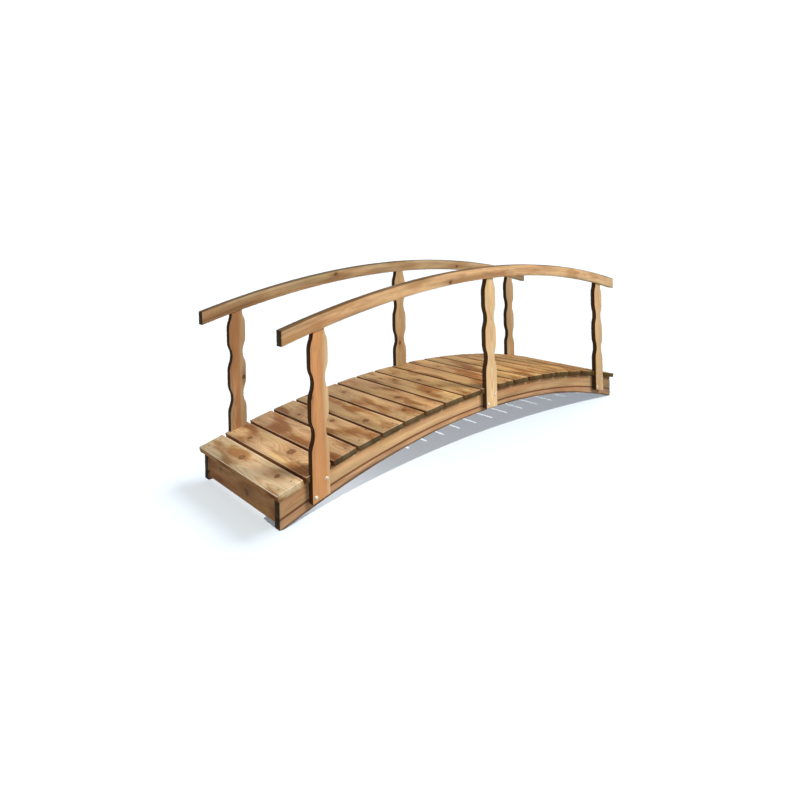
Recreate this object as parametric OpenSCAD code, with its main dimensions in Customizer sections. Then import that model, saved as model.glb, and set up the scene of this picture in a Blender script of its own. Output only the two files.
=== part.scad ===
// Arched timber footbridge with a handrail on each side.
// X runs along the bridge, Y runs across it and Z is up.
// The origin is on the ground, under the middle of the bridge.
// The near side is towards -Y and the left end is towards -X.

/* [Stringers] */
// Length of the two arched stringers, end to end
bridge_length = 2960; // [2600:10:3400]
// Width over the outer faces of the stringers
bridge_width = 800; // [600:10:1200]
// Thickness of a stringer, measured across the bridge
stringer_thickness = 45; // [35:1:60]
// Height of a stringer at its plumb-cut ends
stringer_end_height = 144; // [130:1:180]
// Height of a stringer at the crown of the arch
stringer_crown_height = 114; // [100:1:140]
// How much higher the stringer's top edge is at the crown than at its ends
arch_rise = 193; // [160:1:250]
// Length of the flat foot at each end of a stringer
foot_length = 25; // [15:1:60]

/* [Stringer layers] */
// Height of the lower glued layer at the ends
lower_layer_end_height = 48; // [42:1:60]
// Height of the lower glued layer at the crown
lower_layer_crown_height = 34; // [33:1:46]
// Height of the groove that marks the glue line
seam_height = 3; // [2:0.5:5]
// Depth of the groove in each face of the stringer
seam_depth = 3; // [1:0.5:5]

/* [Treads] */
// Width of a deck board, measured along the bridge
tread_width = 144; // [100:1:180]
// Least gap between two deck boards, which sets how many boards there are
tread_gap = 15; // [8:1:25]
// Thickness of a deck board
tread_thickness = 30; // [22:1:40]
// How far the deck boards reach past the stringers' outer faces
tread_overhang = 22; // [4:1:30]
// How far the first and last boards reach past the stringers' ends
nosing = 16; // [5:1:30]
// Radius of the eased upper edges of a deck board
tread_edge_radius = 4; // [1:0.5:8]
// Room between a post and the notch in the boards beside it
notch_clearance = 1; // [0.5:0.5:3]

/* [Posts] */
// Distance from the middle line of an outer post to the stringer's end
post_end_distance = 210; // [160:1:400]
// Width of a post where it is widest, measured along the bridge
post_width = 102; // [90:1:120]
// Width of a post at its waists
waist_width = 66; // [50:1:80]
// Thickness of a post, measured across the bridge
post_thickness = 34; // [28:1:50]
// How far a post's foot reaches below the stringer's glue line
post_foot_drop = 16; // [14:1:30]
// Distance from one waist to the next
waist_pitch = 244; // [220:1:270]
// Length of the curved cut that makes one waist
waist_length = 172; // [140:1:200]
// Number of waists, counted from the top of the post
waist_count = 3; // [1:1:3]

/* [Handrails] */
// How far a handrail's plumb-cut ends reach past the stringers' ends
rail_reach = 0; // [-60:5:100]
// Height of a handrail, square to its curve
rail_height = 72; // [55:1:90]
// Thickness of a handrail, measured across the bridge
rail_thickness = 45; // [35:1:60]
// How far a handrail's underside is above the ground at its ends
rail_end_height = 845; // [760:1:950]
// How much higher a handrail is at its crown than at its ends
rail_rise = 195; // [160:1:250]

/* [End boards] */
// Thickness of the board that closes each end of the bridge
end_board_thickness = 28; // [20:1:40]
// How far an end board is set back from the stringers' ends
end_board_setback = 8; // [2:1:40]
// Gap under an end board
end_board_clearance = 16; // [5:1:30]

/* [Bolts] */
// Diameter of a coach bolt's shank
bolt_diameter = 8; // [6:1:10]
// Diameter of a coach bolt's domed head
bolt_head_diameter = 20; // [16:1:26]
// Height of a coach bolt's domed head
bolt_head_height = 4.5; // [3:0.5:7]
// Play between a shank and its hole, on the diameter
bolt_hole_clearance = 1; // [0.5:0.5:1.5]
// Distance from a post's upper bolt to the stringer's upper edge
bolt_edge_distance = 22; // [18:1:28]
// Distance from a post's lower bolt up from the glue line
bolt_seam_distance = 9; // [9:1:16]
// Distance from each bolt to the middle line of its post
bolt_offset = 31; // [20:1:32]
// Diameter of the washer under a nut
washer_diameter = 24; // [18:1:30]
// Thickness of the washer under a nut
washer_thickness = 2; // [1:0.5:4]
// Width across the flats of a nut
nut_flats = 13; // [12:1:17]
// Height of a nut
nut_height = 6.5; // [5:0.5:9]
// How far a shank reaches past its nut
bolt_tail = 4; // [2:1:10]

/* [Hidden] */
// An arch line is [half span, height at the ends, rise], an arc of a circle.
function arc_radius(arc) = (arc[0] * arc[0] + arc[2] * arc[2]) / (2 * arc[2]);
function arc_centre_z(arc) = arc[1] + arc[2] - arc_radius(arc);
function arc_z(arc, x) = arc_centre_z(arc) + sqrt(pow(arc_radius(arc), 2) - x * x);

half_length = bridge_length / 2;
half_width = bridge_width / 2;
top_arc = [half_length, stringer_end_height, arch_rise];
crown_z = stringer_end_height + arch_rise;
underside_crown_z = crown_z - stringer_crown_height;
underside_arc = [half_length - foot_length, 0, underside_crown_z];
seam_rise = underside_crown_z + lower_layer_crown_height - lower_layer_end_height;
seam_arc = [half_length, lower_layer_end_height, seam_rise];
foot_arc = [half_length, lower_layer_end_height - post_foot_drop, seam_rise];
rail_arc = [half_length + rail_reach, rail_end_height, rail_rise];
post_spacing = half_length - post_end_distance;

// As many boards as fit are spaced evenly round the top arc, from nosing to nosing.
top_radius = arc_radius(top_arc);
end_angle = asin(half_length / top_radius);
deck_run = top_radius * end_angle * PI / 90 + 2 * nosing;
tread_count = floor((deck_run + tread_gap) / (tread_width + tread_gap));
half_board_angle = atan((tread_width / 2 - nosing) / top_radius);
tread_angle = 2 * (end_angle - half_board_angle) / (tread_count - 1);

// A waist is three arcs of one radius, which meet without a corner.
waist_depth = (post_width - waist_width) / 2;
waist_radius = (pow(waist_length / 2, 2) + pow(waist_depth, 2)) / (4 * waist_depth);
waist_turn_x = (post_width - waist_depth) / 2;

SIDES = ["near", "far"];
ENDS = ["left", "mid", "right"];
function side_sign(side) = side == "near" ? -1 : 1;
function end_sign(end) = end == "left" ? -1 : end == "right" ? 1 : 0;
function tread_name(number) = str("tread_", number < 10 ? "0" : "", number);

arch_facets = 720;
edge_facets = 32;
bolt_facets = 48;
margin = 1;

// Everything below one arch line, as an outline in the X and Z directions
module below_arc(arc) {
    translate([0, arc_centre_z(arc)])
        circle(r = arc_radius(arc), $fn = arch_facets);
}

// A ring that follows one arch line from below it to above it
module band_along_arc(arc, below, above) {
    translate([0, arc_centre_z(arc)]) difference() {
        circle(r = arc_radius(arc) + above, $fn = arch_facets);
        circle(r = arc_radius(arc) - below, $fn = arch_facets);
    }
}

// Stands an X and Z outline upright, from one Y to the next
module upright(from_y, to_y) {
    translate([0, max(from_y, to_y), 0])
        rotate([90, 0, 0])
            linear_extrude(height = abs(to_y - from_y))
                children();
}

module stringer_outline() {
    difference() {
        intersection() {
            translate([-half_length, 0])
                square([bridge_length, crown_z + margin]);
            below_arc(top_arc);
        }
        below_arc(underside_arc);
    }
}

// The glue line's groove, cut into both faces of a stringer
module seam_grooves(sign) {
    outer_y = sign * half_width;
    inner_y = sign * (half_width - stringer_thickness);
    upright(outer_y + sign * margin, outer_y - sign * seam_depth)
        band_along_arc(seam_arc, seam_height / 2, seam_height / 2);
    upright(inner_y - sign * margin, inner_y + sign * seam_depth)
        band_along_arc(seam_arc, seam_height / 2, seam_height / 2);
}

// Puts its children on both bolt lines of one post, with the bolt's axis along Y
module at_bolts(sign, end) {
    for (level = [-1, 1]) {
        x = end_sign(end) * post_spacing - sign * level * bolt_offset;
        z = level > 0
            ? arc_z(top_arc, x) - bolt_edge_distance
            : arc_z(seam_arc, x) + bolt_seam_distance;
        translate([x, sign * (half_width + post_thickness), z])
            rotate([sign * 90, 0, 0])
                children();
    }
}

// Holes through a post and the stringer behind it
module bolt_holes(sign, end) {
    at_bolts(sign, end)
        translate([0, 0, -margin])
            cylinder(
                d = bolt_diameter + bolt_hole_clearance,
                h = post_thickness + stringer_thickness + 2 * margin,
                $fn = bolt_facets
            );
}

module stringer_board(sign) {
    difference() {
        upright(sign * half_width, sign * (half_width - stringer_thickness))
            children();
        seam_grooves(sign);
        for (end = ENDS)
            bolt_holes(sign, end);
    }
}

module stringer_upper(sign) {
    color("#c79a63")
        stringer_board(sign)
            difference() {
                stringer_outline();
                below_arc(seam_arc);
            }
}

module stringer_lower(sign) {
    color("#c08f5f")
        stringer_board(sign)
            intersection() {
                stringer_outline();
                below_arc(seam_arc);
            }
}

// One waist's cut in the right-hand edge of a post, level with the origin
module waist_cut() {
    half_post = post_width / 2;
    half_cut = waist_length / 2;
    difference() {
        translate([waist_turn_x, -half_cut])
            square([half_post + margin - waist_turn_x, waist_length]);
        for (end = [-1, 1])
            translate([half_post - waist_radius, end * half_cut])
                circle(r = waist_radius, $fn = arch_facets);
    }
    intersection() {
        translate([0, -half_cut])
            square([waist_turn_x, waist_length]);
        translate([waist_width / 2 + waist_radius, 0])
            circle(r = waist_radius, $fn = arch_facets);
    }
}

// A post's outline, from the handrail's underside to its foot just below the glue line
module post_outline(x) {
    top_z = arc_z(rail_arc, x);
    difference() {
        intersection() {
            translate([x - post_width / 2, 0])
                square([post_width, top_z + rail_height]);
            below_arc(rail_arc);
        }
        below_arc(foot_arc);
        for (waist = [0:waist_count - 1], edge = [0, 1])
            translate([x, top_z - waist * waist_pitch])
                mirror([edge, 0])
                    waist_cut();
    }
}

module post(sign, end) {
    color("#c98b5a")
        difference() {
            upright(sign * half_width, sign * (half_width + post_thickness))
                post_outline(end_sign(end) * post_spacing);
            bolt_holes(sign, end);
        }
}

// A coach bolt with its head at the origin and its shank along Z
module coach_bolt() {
    grip = post_thickness + stringer_thickness;
    shank_length = grip + washer_thickness + nut_height + bolt_tail;
    dome_radius = (pow(bolt_head_diameter / 2, 2) + pow(bolt_head_height, 2)) / (2 * bolt_head_height);
    intersection() {
        translate([0, 0, -bolt_head_height])
            cylinder(d = bolt_head_diameter, h = bolt_head_height, $fn = bolt_facets);
        translate([0, 0, dome_radius - bolt_head_height])
            sphere(r = dome_radius, $fn = bolt_facets * 2);
    }
    cylinder(d = bolt_diameter, h = shank_length, $fn = bolt_facets);
    translate([0, 0, grip])
        cylinder(d = washer_diameter, h = washer_thickness, $fn = bolt_facets);
    translate([0, 0, grip + washer_thickness])
        cylinder(d = nut_flats / cos(30), h = nut_height, $fn = 6);
}

module post_bolts(sign, end) {
    color("#d8d6d0")
        at_bolts(sign, end)
            coach_bolt();
}

module handrail(sign) {
    color("#cf9862")
        upright(sign * half_width, sign * (half_width + rail_thickness))
            intersection() {
                translate([-rail_arc[0], 0])
                    square([2 * rail_arc[0], rail_end_height + rail_rise + 2 * rail_height]);
                band_along_arc(rail_arc, 0, rail_height);
            }
}

// The board between the stringers at one end, cut to the arch at its top
module end_board(end) {
    inner_y = half_width - stringer_thickness;
    outer_x = half_length - end_board_setback;
    color("#a87b4c")
        upright(-inner_y, inner_y)
            intersection() {
                mirror([end < 0 ? 1 : 0, 0])
                    translate([outer_x - end_board_thickness, end_board_clearance])
                        square([end_board_thickness, crown_z]);
                below_arc(top_arc);
            }
}

// A deck board's cross-section, with its two upper edges eased
module tread_section() {
    r = tread_edge_radius;
    translate([-tread_width / 2, 0])
        square([tread_width, tread_thickness - r]);
    translate([-tread_width / 2 + r, 0])
        square([tread_width - 2 * r, tread_thickness]);
    for (edge = [-1, 1])
        translate([edge * (tread_width / 2 - r), tread_thickness - r])
            circle(r = r, $fn = edge_facets);
}

// The room that the posts take out of the ends of the deck boards
module post_notches() {
    notch_width = post_width + 2 * notch_clearance;
    notch_depth = max(post_thickness, tread_overhang + margin);
    for (side = SIDES, end = ENDS) {
        sign = side_sign(side);
        x = end_sign(end) * post_spacing - notch_width / 2;
        y = sign < 0 ? -half_width - notch_depth : half_width;
        translate([x, y, 0])
            cube([notch_width, notch_depth, crown_z + 3 * tread_thickness]);
    }
}

module tread(number) {
    angle = (number - (tread_count + 1) / 2) * tread_angle;
    half_tread = half_width + tread_overhang;
    color("#c2935c")
        difference() {
            translate([0, 0, arc_centre_z(top_arc)])
                rotate([0, angle, 0])
                    translate([0, 0, top_radius])
                        upright(-half_tread, half_tread)
                            tread_section();
            post_notches();
        }
}

for (side = SIDES) {
    sign = side_sign(side);
    stringer_upper(sign);
    stringer_lower(sign);
    handrail(sign);
    for (end = ENDS) {
        post(sign, end);
        post_bolts(sign, end);
    }
}
end_board(-1);  // left_end_board
end_board(1);  // right_end_board
for (number = [1:tread_count])
    tread(number);
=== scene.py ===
"""An arched timber garden footbridge: planed, pressure-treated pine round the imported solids."""
import math
from types import SimpleNamespace

import bmesh
import bpy
import numpy as np
from mathutils import Matrix, Vector


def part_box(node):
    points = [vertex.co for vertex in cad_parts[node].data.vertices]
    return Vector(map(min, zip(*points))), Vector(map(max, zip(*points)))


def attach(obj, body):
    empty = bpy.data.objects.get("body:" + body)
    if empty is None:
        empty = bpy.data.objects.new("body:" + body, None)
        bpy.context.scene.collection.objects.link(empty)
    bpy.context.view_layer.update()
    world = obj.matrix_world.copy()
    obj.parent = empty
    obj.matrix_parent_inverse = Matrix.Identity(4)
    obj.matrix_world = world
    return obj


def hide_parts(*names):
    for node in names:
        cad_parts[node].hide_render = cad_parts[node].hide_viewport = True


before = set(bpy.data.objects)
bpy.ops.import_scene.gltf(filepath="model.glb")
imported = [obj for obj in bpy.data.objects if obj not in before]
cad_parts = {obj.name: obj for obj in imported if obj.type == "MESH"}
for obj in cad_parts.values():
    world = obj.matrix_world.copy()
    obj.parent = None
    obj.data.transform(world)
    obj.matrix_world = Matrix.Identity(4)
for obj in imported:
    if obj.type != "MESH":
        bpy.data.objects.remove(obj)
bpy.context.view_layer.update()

# The stringers and the deck, in metres. X runs along the bridge, Y across it and Z up.
HALF_LENGTH = 1.480
HALF_WIDTH = 0.400
TIMBER = 0.045
POST_THICKNESS, POST_FOOT_DROP = 0.034, 0.016
STRINGER_END, STRINGER_CROWN, ARCH_RISE = 0.144, 0.114, 0.193
FOOT = 0.025
LOWER_LAYER_END, LOWER_LAYER_CROWN = 0.048, 0.034
BOARDS = 19
BOARD_WIDTH, BOARD_THICKNESS, BOARD_OVERHANG, NOSING = 0.144, 0.030, 0.022, 0.016
NOTCH_PLAY = 0.001

# The posts, the handrails and the bolts
POST_X, POST_WIDTH, WAIST_WIDTH = 1.270, 0.102, 0.066
WAIST_PITCH, WAIST_LENGTH, WAISTS = 0.244, 0.172, 3
RAIL_END, RAIL_RISE, RAIL_HEIGHT = 0.845, 0.195, 0.072
BOLT_HEAD, BOLT_HEAD_HEIGHT, BOLT_SHANK = 0.020, 0.0045, 0.008
BOLT_EDGE, BOLT_ABOVE_SEAM, BOLT_OFFSET = 0.022, 0.009, 0.031
WASHER, WASHER_THICKNESS, NUT_FLATS, NUT_HEIGHT, BOLT_TAIL = 0.024, 0.002, 0.013, 0.0065, 0.004
SCREW_HEAD, SCREW_SOCKET, SCREW_SINK, SCREW_DRIFT = 0.008, 0.0036, 0.0013, 0.003
END_BOARD_MIDDLE = 0.08

# How far the edges are eased, and how far a piece may lie from the solid that it stands for
BOARD_EASE, RAIL_EASE, POST_EASE, STRINGER_EASE = 0.0035, 0.004, 0.003, 0.0025
LARGEST_OFFSET = 0.002

# The wood: its rings, the saw's marks, and the dark line where a stringer's layers meet, with painted
# shade for the groove along it
RING_SPACING, SAW_PITCH = 0.0042, 0.0032
GROOVE_FADE, GROOVE_WIDTH = 0.050, 0.008
KNOT_NAMES = ("first_knot", "second_knot")

# Shares of a face's normal: past them it counts as end grain, as a sawn edge or as slanted
END_FACING, EDGE_FACING, SLANTED = 0.75, 0.6, 0.3

# A long edge counts as eased where its share through the timber lies between these
LEAST_EASED, MOST_EASED = 0.08, 0.97

# How fully the eased edges of end grain show the end grain's colour
END_ARRIS_SHARE = 0.75

FLOOR_SIZE, FLOOR_DROP = 400, 0.0005
SIDES = {"near": -1, "far": 1}
ENDS = {"left": -1, "mid": 0, "right": 1}


class Arch:
    """A circle's arc over the bridge, given by its half span, its height at the ends and its rise.

    It may be raised, which keeps its centre and makes it larger.
    """

    def __init__(self, half_span, end_z, rise, raised=0.0):
        radius = (half_span**2 + rise**2) / (2 * rise)
        self.centre_z = end_z + rise - radius
        self.radius = radius + raised

    def z(self, x):
        return self.centre_z + math.sqrt(self.radius**2 - x**2)


crown_z = STRINGER_END + ARCH_RISE
underside_rise = crown_z - STRINGER_CROWN
top_arch = Arch(HALF_LENGTH, STRINGER_END, ARCH_RISE)
underside_arch = Arch(HALF_LENGTH - FOOT, 0, underside_rise)
seam_rise = underside_rise + LOWER_LAYER_CROWN - LOWER_LAYER_END
seam_arch = Arch(HALF_LENGTH, LOWER_LAYER_END, seam_rise)
foot_arch = Arch(HALF_LENGTH, LOWER_LAYER_END - POST_FOOT_DROP, seam_rise)
rail_arch = Arch(HALF_LENGTH, RAIL_END, RAIL_RISE)
rail_middle_arch = Arch(HALF_LENGTH, RAIL_END, RAIL_RISE, RAIL_HEIGHT / 2)
rail_top_arch = Arch(HALF_LENGTH, RAIL_END, RAIL_RISE, RAIL_HEIGHT)
end_angle = math.asin(HALF_LENGTH / top_arch.radius)
board_step = 2 * (end_angle - math.atan((BOARD_WIDTH / 2 - NOSING) / top_arch.radius)) / (BOARDS - 1)


def board_angle(number):
    """How far board 1 to 19 is turned from level, clockwise as the near side shows it."""
    return (number - (BOARDS + 1) / 2) * board_step


class Wiring:
    """Adds the nodes of one tree and joins them, in few words. A value is a number or a socket."""

    def __init__(self, tree):
        self.tree = tree

    def node(self, kind, inputs=None, **settings):
        made = self.tree.nodes.new(kind)
        for name, value in settings.items():
            setattr(made, name, value)
        for name, value in (inputs or {}).items():
            self.feed(made.inputs[name], value)
        return made

    def feed(self, socket, value):
        if isinstance(value, bpy.types.NodeSocket):
            self.tree.links.new(value, socket)
        elif value is not None:
            socket.default_value = value

    def maths(self, operation, *values):
        return self.node("ShaderNodeMath", dict(enumerate(values)), operation=operation).outputs[0]

    def plus(self, a, b):
        return self.maths("ADD", a, b)

    def minus(self, a, b):
        return self.maths("SUBTRACT", a, b)

    def times(self, a, b):
        return self.maths("MULTIPLY", a, b)

    def scaled(self, vector, factor):
        made = self.node("ShaderNodeVectorMath", {0: vector, "Scale": factor}, operation="SCALE")
        return made.outputs[0]

    def swing(self, value, width):
        """Turns a value from 0 to 1 into one that swings round 0, this wide."""
        return self.times(self.minus(value, 0.5), width)

    def reach(self, a, b):
        """How far (a, b) is from the origin."""
        return self.maths("SQRT", self.plus(self.times(a, a), self.times(b, b)))

    def leg(self, radius, run):
        """How high a circle stands over a point this far from its middle."""
        return self.maths("SQRT", self.minus(self.times(radius, radius), self.times(run, run)))

    def vector(self, x, y, z):
        return self.node("ShaderNodeCombineXYZ", {0: x, 1: y, 2: z}).outputs[0]

    def parts(self, vector):
        return self.node("ShaderNodeSeparateXYZ", {0: vector}).outputs

    def channels(self, colour):
        return self.node("ShaderNodeSeparateColor", {0: colour}).outputs

    def ramp(self, value, low, high, start=0.0, end=1.0, kind="SMOOTHSTEP"):
        """Goes from start to end as the value goes from low to high, slowly at both."""
        inputs = {"Value": value, "From Min": low, "From Max": high, "To Min": start, "To Max": end}
        return self.node("ShaderNodeMapRange", inputs, interpolation_type=kind).outputs[0]

    def line(self, value, low, high, start, end):
        """The same, at an even pace."""
        return self.ramp(value, low, high, start, end, kind="LINEAR")

    def on_arch(self, x, radius, centre_z):
        """The height of a circle's upper side over x."""
        return self.plus(centre_z, self.leg(radius, x))


# Geometry node trees

def start_tree(name, numbers, counts="", places=""):
    """A new geometry node tree, with a material input and those that the three lists name."""
    tree = bpy.data.node_groups.new(name, "GeometryNodeTree")
    kinds = {"NodeSocketFloat": numbers, "NodeSocketInt": counts, "NodeSocketVector": places}
    labels = [(label, kind) for kind, named in kinds.items() for label in named.split()]
    for label, kind in labels:
        tree.interface.new_socket(label.replace("_", " "), in_out="INPUT", socket_type=kind)
    tree.interface.new_socket("material", in_out="INPUT", socket_type="NodeSocketMaterial")
    tree.interface.new_socket("mesh", in_out="OUTPUT", socket_type="NodeSocketGeometry")
    wiring = Wiring(tree)
    sockets = wiring.node("NodeGroupInput").outputs
    given = {label: sockets[label.replace("_", " ")] for label, kind in labels}
    return wiring, SimpleNamespace(**given)


def made_real(wiring, instances):
    return wiring.node("GeometryNodeRealizeInstances", {0: instances}).outputs[0]


def end_tree(wiring, mesh):
    """Closes a tree with Realize Instances and Set Material."""
    inputs = {
        "Geometry": made_real(wiring, mesh),
        "Material": wiring.node("NodeGroupInput").outputs["material"],
    }
    finished = wiring.node("GeometryNodeSetMaterial", inputs)
    wiring.node("NodeGroupOutput", {0: finished.outputs[0]})
    return wiring.tree


def shaped(wiring, mesh, place):
    """The mesh with each point at the place that is worked out for it."""
    return wiring.node("GeometryNodeSetPosition", {"Geometry": mesh, "Position": place}).outputs[0]


def moved(wiring, mesh, place, turn=None):
    """The mesh, turned and then moved as a whole."""
    inputs = {"Geometry": mesh, "Translation": place, "Rotation": turn}
    return wiring.node("GeometryNodeTransform", inputs).outputs[0]


def cut_from(wiring, mesh, cutter):
    inputs = {"Mesh 1": mesh, "Mesh 2": cutter}
    made = wiring.node("GeometryNodeMeshBoolean", inputs, operation="DIFFERENCE", solver="EXACT")
    return made.outputs["Mesh"]


def block(wiring, size, segments):
    """A block of the given size round the origin, and the X, Y and Z of its points."""
    inputs = {"Size": size}
    for axis, count in zip("XYZ", segments):
        inputs["Vertices " + axis] = count
    mesh = wiring.node("GeometryNodeMeshCube", inputs).outputs["Mesh"]
    return mesh, wiring.parts(wiring.node("GeometryNodeInputPosition").outputs[0])


def between(wiring, share, start, end):
    """A value from start to end, for a share that runs from -0.5 to 0.5."""
    return wiring.plus(start, wiring.times(wiring.plus(share, 0.5), wiring.minus(end, start)))


def arched_timber_tree():
    """A timber whose lower and upper sides each follow an arc, with plumb-cut ends and a level foot."""
    w, given = start_tree(
        "arched timber",
        "half_length lowest lower_radius lower_centre upper_radius upper_centre first_side second_side",
        counts="segments")
    size = w.vector(w.times(given.half_length, 2), 1, 1)
    mesh, (x, y, z) = block(w, size, (given.segments, 2, 2))
    arc = w.on_arch(x, given.lower_radius, given.lower_centre)
    lower = w.maths("MAXIMUM", given.lowest, arc)
    upper = w.on_arch(x, given.upper_radius, given.upper_centre)
    place = w.vector(x, between(w, y, given.first_side, given.second_side),
                     between(w, z, lower, upper))
    return end_tree(w, shaped(w, mesh, place))


def waist_dip(w, below_top, given):
    """How far a post's edge is cut in, at a distance below its top: three equal arcs to a waist."""
    half_cut = w.times(given.waist_length, 0.5)
    depth = w.times(w.minus(given.width, given.waist_width), 0.5)
    across_cut = w.reach(half_cut, depth)
    radius = w.maths("DIVIDE", w.times(across_cut, across_cut), w.times(depth, 4))
    half_pitch = w.times(given.waist_pitch, 0.5)
    wrapped = w.maths("WRAP", below_top, half_pitch, w.times(half_pitch, -1))
    away = w.maths("MINIMUM", w.maths("ABSOLUTE", wrapped), half_cut)

    def sag(run):
        return w.minus(radius, w.leg(radius, run))

    hollow = w.minus(depth, sag(w.maths("MINIMUM", away, w.times(half_cut, 0.5))))
    shoulder = sag(w.minus(half_cut, away))
    in_hollow = w.maths("LESS_THAN", away, w.times(half_cut, 0.5))
    dip = w.plus(w.times(in_hollow, hollow), w.times(w.minus(1, in_hollow), shoulder))
    last = w.times(given.waist_pitch, w.minus(given.waists, 0.5))
    return w.times(dip, w.maths("LESS_THAN", below_top, last))


def wavy_post_tree():
    """A post with waists in both edges, its foot on one arc and its head on another."""
    w, given = start_tree(
        "wavy post",
        "middle first_side second_side width waist_width waist_length waist_pitch "
        "foot_radius foot_centre head_radius head_centre", counts="waists segments")
    mesh, (x, y, z) = block(w, w.vector(1, 1, 1), (5, 2, given.segments))
    head = w.on_arch(given.middle, given.head_radius, given.head_centre)
    foot = w.on_arch(given.middle, given.foot_radius, given.foot_centre)
    below_top = w.times(w.minus(0.5, z), w.minus(head, foot))
    width = w.minus(given.width, w.times(waist_dip(w, below_top, given), 2))
    along = w.plus(given.middle, w.times(x, width))
    foot_here = w.on_arch(along, given.foot_radius, given.foot_centre)
    head_here = w.on_arch(along, given.head_radius, given.head_centre)
    place = w.vector(along, between(w, y, given.first_side, given.second_side),
                     between(w, z, foot_here, head_here))
    return end_tree(w, shaped(w, mesh, place))


def deck_board_tree():
    """One deck board, laid on the arch at its own angle, with the posts' notches cut from its ends."""
    w, given = start_tree(
        "deck board",
        "turn arch_radius arch_centre length width thickness notch_width notch_from post_x")
    size = w.vector(given.width, given.length, given.thickness)
    board, _ = block(w, size, (2, 2, 2))
    reach = w.plus(given.arch_radius, w.times(given.thickness, 0.5))
    place = w.vector(w.times(w.maths("SINE", given.turn), reach), 0,
                     w.plus(given.arch_centre, w.times(w.maths("COSINE", given.turn), reach)))
    laid = moved(w, board, place, w.vector(0, given.turn, 0))
    cut_depth = 0.1
    cutter, _ = block(w, w.vector(given.notch_width, cut_depth, 2), (2, 2, 2))
    rows = w.plus(w.times(given.notch_from, 2), cut_depth)
    spots = w.node("GeometryNodeMeshGrid", {
        "Size X": w.times(given.post_x, 2), "Size Y": rows, "Vertices X": 3, "Vertices Y": 2})
    cutters = w.node("GeometryNodeInstanceOnPoints", {
        "Points": spots.outputs["Mesh"], "Instance": cutter})
    return end_tree(w, cut_from(w, laid, made_real(w, cutters.outputs[0])))


def deck_screws_tree():
    """Four countersunk screws a board, in two rows along each stringer, each with a hexagon socket."""
    w, given = start_tree(
        "deck screws", "step surface_radius arch_centre row spread head socket",
        counts="boards seed", places="drift")
    head = w.node("GeometryNodeMeshCone", {
        "Vertices": 16, "Radius Top": w.times(given.head, 0.5),
        "Radius Bottom": w.times(given.head, 0.3), "Depth": w.times(given.head, 0.4)})
    socket = w.node("GeometryNodeMeshCylinder", {
        "Vertices": 6, "Radius": w.times(given.socket, 0.5), "Depth": w.times(given.head, 0.4)})
    raised = moved(w, socket.outputs["Mesh"], w.vector(0, 0, w.times(given.head, 0.45)))
    screw = cut_from(w, head.outputs["Mesh"], raised)
    index = w.node("GeometryNodeInputIndex").outputs[0]
    board = w.maths("FLOOR", w.maths("DIVIDE", w.plus(index, 0.5), 4))
    corner = w.minus(index, w.times(board, 4))
    side = w.minus(w.times(w.maths("FLOOR", w.times(w.plus(corner, 0.5), 0.5)), 2), 1)
    hand = w.minus(w.times(w.maths("MODULO", corner, 2), 2), 1)
    middle = w.times(w.minus(given.boards, 1), 0.5)
    turn = w.times(w.minus(board, middle), given.step)
    drift = w.node("FunctionNodeRandomValue", {
        "Min": w.scaled(given.drift, -1), "Max": given.drift, "Seed": given.seed},
        data_type="FLOAT_VECTOR").outputs["Value"]
    drift_x, drift_y, _ = w.parts(drift)
    local_x = w.plus(w.times(hand, given.spread), drift_x)
    sine, cosine = w.maths("SINE", turn), w.maths("COSINE", turn)
    place = w.vector(
        w.plus(w.times(sine, given.surface_radius), w.times(cosine, local_x)),
        w.plus(w.times(side, given.row), drift_y),
        w.plus(given.arch_centre,
               w.minus(w.times(cosine, given.surface_radius), w.times(sine, local_x))))
    points = w.node("GeometryNodeMeshLine", {
        "Count": w.times(given.boards, 4), "Offset": w.vector(0, 0, 0)})
    spots = shaped(w, points.outputs[0], place)
    spin = w.node("FunctionNodeRandomValue", {
        "Min": 0.0, "Max": math.pi, "Seed": w.plus(given.seed, 1)}, data_type="FLOAT")
    spun = w.node("FunctionNodeRotateRotation", {
        "Rotation": w.node("FunctionNodeEulerToRotation", {0: w.vector(0, turn, 0)}).outputs[0],
        "Rotate By": w.node("FunctionNodeEulerToRotation", {
            0: w.vector(0, 0, spin.outputs["Value"])}).outputs[0]}, rotation_space="LOCAL")
    screws = w.node("GeometryNodeInstanceOnPoints", {
        "Points": spots, "Instance": screw, "Rotation": spun.outputs[0]})
    return end_tree(w, screws.outputs[0])


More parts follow.
